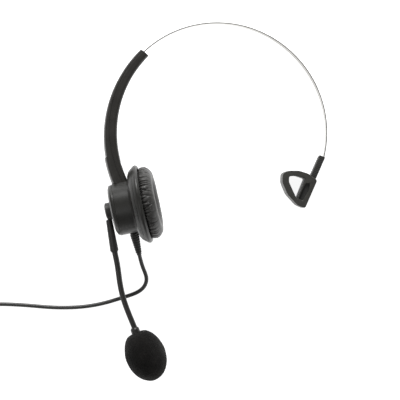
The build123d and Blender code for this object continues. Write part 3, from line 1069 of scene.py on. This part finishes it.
@dataclass
class Headband:
    """Steel strip, the pad's stem and the rubber temple pad.

    Args:
        half_width: half the pad's width.
        edge: radius of its long edges.
        plate_inset: how far the stem's plate stops short of the pad's sides.
        stem_half: half the stem's thickness and half its width.
        stem_edge: radius of the stem's long edges.
        stem_tuck: how far the stem goes on inside the pad.
        rib_step: distance between the stem's ribs.
        rib_height: how far they stand out.
        end_chamfer: how far the stem's ends are drawn in.
    """

    half_width: float = 11.5
    edge: float = 0.55
    plate_inset: float = 1.8
    stem_half: tuple[float, float] = (2.1, 4.8)
    stem_edge: float = 0.7
    stem_tuck: float = 5.0
    rib_step: float = 1.25
    rib_height: float = 0.22
    end_chamfer: float = 0.5

    STEM_TOP: ClassVar[tuple[float, float]] = (74.9, 31.0)
    STEM_FOOT: ClassVar[tuple[float, float]] = (68.3, 16.2)

    OUTLINE: ClassVar[Profile] = [
        (46.9, 13.0), (47.2, 19.6), (52.0, 21.2), (58.5, 21.2), (65.0, 19.2), (71.4, 14.4),
        (62.8, -5.2), (57.5, -3.0), (50.5, 4.6),
    ]
    OUTLINE_R: ClassVar[list[float]] = [6.0, 3.6, 7.0, 9.0, 10.0, 2.0, 1.8, 7.0, 10.0]
    HOLE: ClassVar[Profile] = [
        (51.6, 13.2), (51.6, 17.3), (57.0, 17.6), (63.2, 15.6), (57.2, 0.9),
    ]
    HOLE_R: ClassVar[list[float]] = [4.0, 1.8, 5.0, 1.2, 0.6]
    POCKET: ClassVar[Profile] = [
        (66.1, 12.3), (65.5, 7.5), (61.2, 0.3), (58.3, 1.8), (60.7, 7.4), (63.4, 12.3),
    ]
    POCKET_R: ClassVar[list[float]] = [0.5, 4.0, 0.8, 0.8, 4.0, 0.5]

    def local(self, x: float, y: float) -> tuple[float, float]:
        """A plan point of the pad's upper face, in the pad's own millimetres."""
        return x - self.half_width * PAD_LEAN - PAD_MIDDLE[0], y - PAD_MIDDLE[1]

    def pad(self) -> None:
        """Temple pad: a rounded rubber wedge with a finger hole and a pocket."""
        place = pad_frame()
        curve = bpy.data.curves.new("temple_pad", "CURVE")
        curve.dimensions = "2D"
        curve.fill_mode = "BOTH"
        curve.extrude = self.half_width - self.edge
        curve.bevel_depth = self.edge
        curve.bevel_resolution = 5
        curve.offset = -self.edge
        loops = (
            (self.OUTLINE, self.OUTLINE_R), (self.HOLE, self.HOLE_R), (self.POCKET, self.POCKET_R),
        )
        for corners, radii in loops:
            spots = [self.local(*corner) for corner in corners]
            points = rounded(spots, radii, closed=True, steps=10)
            spline = curve.splines.new("POLY")
            spline.points.add(len(points) - 1)
            for point, spot in zip(spline.points, points):
                point.co = (*spot, 0.0, 1.0)
            spline.use_cyclic_u = True
        helper = new_piece("pad_outline", curve)
        mesh = bpy.data.meshes.new_from_object(helper)
        bpy.data.objects.remove(helper)
        for vert in mesh.vertices:
            vert.co = place.point(*vert.co)
        smooth(mesh, 40)
        pad = new_piece("temple_pad_rubber", mesh)
        place_piece(pad, PAD_RUBBER, "band", "temple_pad")

    def stem(self) -> None:
        """The pad's stem, with fine ribs across it."""
        place = band_frame()
        top = self.on_band(place, *self.STEM_TOP)
        foot = self.on_band(place, *self.STEM_FOOT)
        way = (foot - top).normalized()
        side = Vector((-way.y, way.x, 0.0))
        reach = (foot - top).length + self.stem_tuck
        count = int(reach / self.rib_step) * 4
        verts: list[Vector] = []
        thick, wide = self.stem_half
        square = [(thick, wide), (-thick, wide), (-thick, -wide), (thick, -wide)]
        section = rounded(square, [self.stem_edge] * 4, closed=True, steps=4)
        for k in range(count + 1):
            along = reach * k / count
            rib = self.rib_height if k % 4 in (1, 2) else 0.0
            swell = rib - (self.end_chamfer if k in (0, count) else 0.0)
            for across, height in section:
                out = Vector((across, height)).normalized() * swell
                spot = top + way * along + side * (across + out.x)
                verts.append(place.point(spot.x, spot.y, height + out.y))
        mesh = mesh_from("pad_stem_ribbed", verts, bar_faces(count, len(section)))
        smooth(mesh, 30)
        stem = new_piece("pad_stem_ribbed", mesh)
        place_piece(stem, RELIEF_RUBBER, "band", "pad_stem", "stem_rivets")

    def plate(self) -> None:
        """The stem's plate, sunk in the pad's pocket."""
        place = pad_frame()
        spots = [self.local(*corner) for corner in self.POCKET]
        outline = rounded(spots, self.POCKET_R, closed=True)
        half = self.half_width - self.plate_inset
        verts = [place.point(x, y, height) for height in (-half, half) for x, y in outline]
        mesh = mesh_from("pad_plate", verts, bar_faces(1, len(outline)))
        smooth(mesh)
        plate = new_piece("pad_plate", mesh)
        place_piece(plate, RELIEF_RUBBER, "band")

    def on_band(self, place: LocalFrame, x: float, y: float) -> Vector:
        """Lays a point seen from above on the band's plane.

        Args:
            place: the band's frame.
            x: the point's X in the shared frame, in millimetres.
            y: the point's Y in the shared frame, in millimetres.

        Returns:
            The point in the band's own millimetres.
        """
        spot = Vector((x, y, 0.0)) - place.origin / MM
        square = place.z_way
        spot.z = -(square.x * spot.x + square.y * spot.y) / square.z
        return Vector((spot.dot(place.x_way), spot.dot(place.y_way), 0.0))

    def build(self) -> None:
        """Makes the pad and its stem and dresses the rest."""
        self.pad()
        self.stem()
        self.plate()
        dress_nodes(SPRING_STEEL, "headband_strip")
        dress_nodes(INNER_PLASTIC, "strip_stop")


# ------------------------------------------------------------------ boom and microphone
@dataclass
class Boom:
    """Pivot, gooseneck and microphone with its foam windscreen.

    Args:
        neck_r: radius of the gooseneck.
        neck_start: distance from the pivot at which it leaves the sleeve.
        neck_tuck: how far it goes on inside the collar.
        neck_steps: pieces along it.
        wave: how far it wanders to each side.
        bend_start: distance at which its curve begins.
        bend_r: radius of that curve.
        bend: how far it turns, in degrees.
        flex: half the length that bends at the joint, in metres; not used.
        foam_length: length of the windscreen.
        foam_r: radius of the windscreen.
        foam_gap: distance from the neck's end to the windscreen.
    """

    neck_r: float = 2.0
    neck_start: float = 24.0
    neck_tuck: float = 0.6
    neck_steps: int = 110
    wave: float = 0.35
    bend_start: float = 46.0
    bend_r: float = 168.0
    bend: float = 13.0
    flex: float = 0.018
    foam_length: float = 37.4
    foam_r: float = 14.2
    foam_gap: float = 2.4

    def neck_point(self, along: float) -> Vector:
        """Finds the middle of the gooseneck.

        Args:
            along: distance from the pivot.

        Returns:
            The point in the boom's own millimetres.
        """
        if along <= self.bend_start:
            return Vector((along, 0, 0))
        swing = (along - self.bend_start) / self.bend_r
        return Vector((
            self.bend_start + self.bend_r * math.sin(swing),
            self.bend_r * (1 - math.cos(swing)),
            0,
        ))

    def neck_end(self) -> float:
        """Distance at which the gooseneck meets the collar."""
        return self.bend_start + self.bend_r * math.radians(self.bend)

    def gooseneck(self) -> None:
        """One flexible neck, swept with a fixed curve between the boom and the microphone."""
        place = boom_frame()
        first, last = self.neck_start, self.neck_end() + self.neck_tuck
        centres = []
        for i in range(self.neck_steps + 1):
            along = first + (last - first) * i / self.neck_steps
            spot = self.neck_point(along)
            ease = min(1.0, (along - first) / 14)
            wave = self.wave * math.sin((along - first) / 7.5) * ease
            centres.append(place.point(spot.x, spot.y + wave, spot.z))
        neck = sweep("gooseneck", centres, [self.neck_r] * len(centres))
        dress(neck, NECK_SLEEVE)
        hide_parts("gooseneck_lower", "gooseneck_upper")
        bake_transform(neck)
        LOG.info("gooseneck bends between boom and microphone")

    def mic_frame(self) -> LocalFrame:
        """Microphone's frame, with its origin at the neck's end.

        Returns:
            Z along the microphone's own axis, away from the boom.
        """
        place = boom_frame()
        swing = math.radians(self.bend)
        spot = self.neck_point(self.neck_end())
        way = place.x_way * math.cos(swing) + place.y_way * math.sin(swing)
        return LocalFrame(place.point(*spot), place.z_way, way)

    def windscreen(self) -> None:
        """Foam ball with a rough open-cell surface."""
        place = self.mic_frame()
        middle = self.foam_gap + self.foam_length / 2
        mesh = bpy.data.meshes.new("windscreen")
        work = bmesh.new()
        bmesh.ops.create_icosphere(work, subdivisions=7, radius=1.0)
        for vert in work.verts:
            way = vert.co.normalized()
            neck = max(0.0, -way.z - 0.86) / 0.14
            length = way.z * self.foam_length / 2 + neck * 1.2
            spot = Vector((way.x * self.foam_r, way.y * self.foam_r, length))
            rough = 0.16 * noise.noise(spot * 1.6) + 0.13 * noise.noise(spot * 3.1)
            dents = 0.25 * noise.noise(spot * 0.16)
            spot += way * (rough + dents - 0.15)
            vert.co = place.point(spot.x, spot.y, spot.z + middle)
        work.to_mesh(mesh)
        work.free()
        mesh.shade_smooth()
        foam = new_piece("windscreen", mesh)
        place_piece(foam, WINDSCREEN_FOAM, "microphone", "foam_windscreen")

    def build(self) -> None:
        """Makes the neck and windscreen and dresses the rest."""
        self.gooseneck()
        self.windscreen()
        dress_nodes(BOOM_PLASTIC, "boom_holder", "boom_pivot_cap", "mic_collar")
        dress_nodes(INNER_PLASTIC, "mic_housing", "mic_grille", "boom_ferrule")
        dress_nodes(PLATED_STEEL, "mic_capsule")
        dress_nodes(RELIEF_RUBBER, "mic_grommet")


@dataclass
class PlugAndTie:
    """The jack plug beside the coil, and the tie round it."""

    def build(self) -> None:
        """Dresses the plug's and the tie's nodes."""
        dress_nodes(GOLD_FLASH, "plug_jack")
        dress_nodes(INNER_PLASTIC, "plug_insulators", "coil_tie")
        dress_nodes(HUB_PLASTIC, "plug_body")
        dress_nodes(RELIEF_RUBBER, "plug_strain_relief")
        LOG.info("plug dressed")


def main() -> None:
    """Builds the studio, then each sub-assembly in order."""
    logging.basicConfig(level=logging.INFO, format="%(name)s: %(message)s")
    Studio().build()
    Cord().build()
    PlugAndTie().build()
    EarCup().build()
    EarCushion().build()
    HeadbandArm().build()
    Headband().build()
    Boom().build()


if __name__ == "__main__":
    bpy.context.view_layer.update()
    main()
